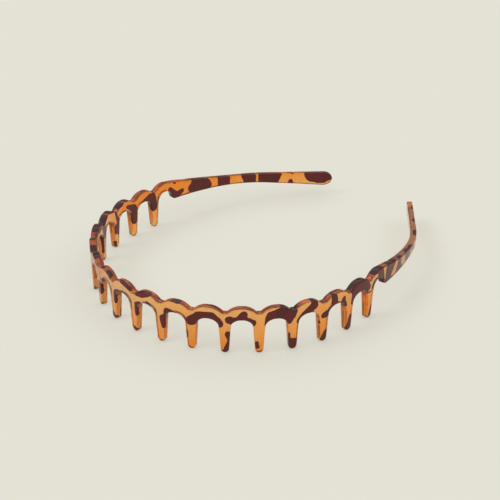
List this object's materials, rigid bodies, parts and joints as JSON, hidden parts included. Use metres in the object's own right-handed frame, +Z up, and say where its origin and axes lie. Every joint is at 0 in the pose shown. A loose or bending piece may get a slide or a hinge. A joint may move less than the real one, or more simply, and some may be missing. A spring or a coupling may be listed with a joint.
{
  "type": "headband",
  "caption": "Horseshoe comb headband in clear amber plastic: a scalloped strip with comb teeth along its lower edge and two smooth, tapering arms that spring apart.",
  "frame": {"origin": "centre of the plan of the band, on the surface that the tooth tips stand on", "axes": "+X to the band's right-hand arm, +Y from the crown to the open end, +Z up from the tooth tips to the scalloped edge"},
  "size_m": [0.1156, 0.1402, 0.0181],
  "materials": {
    "tortoiseshell_plastic": "polished clear amber with dark brown tortoiseshell patches"
  },
  "bodies": {
    "left_half": {"left_comb": "tortoiseshell_plastic", "left_arm": "tortoiseshell_plastic"},
    "right_half": {"right_comb": "tortoiseshell_plastic", "right_arm": "tortoiseshell_plastic"}
  },
  "joints": [
    {"name": "crown_flex", "type": "hinge", "parent": "left_half", "child": "right_half", "pos_m": [0.00599, -0.06834, 0], "axis": [0, 0, -1], "range_deg": [-12, 32], "stiffness_Nm_per_rad": 0.17}
  ]
}
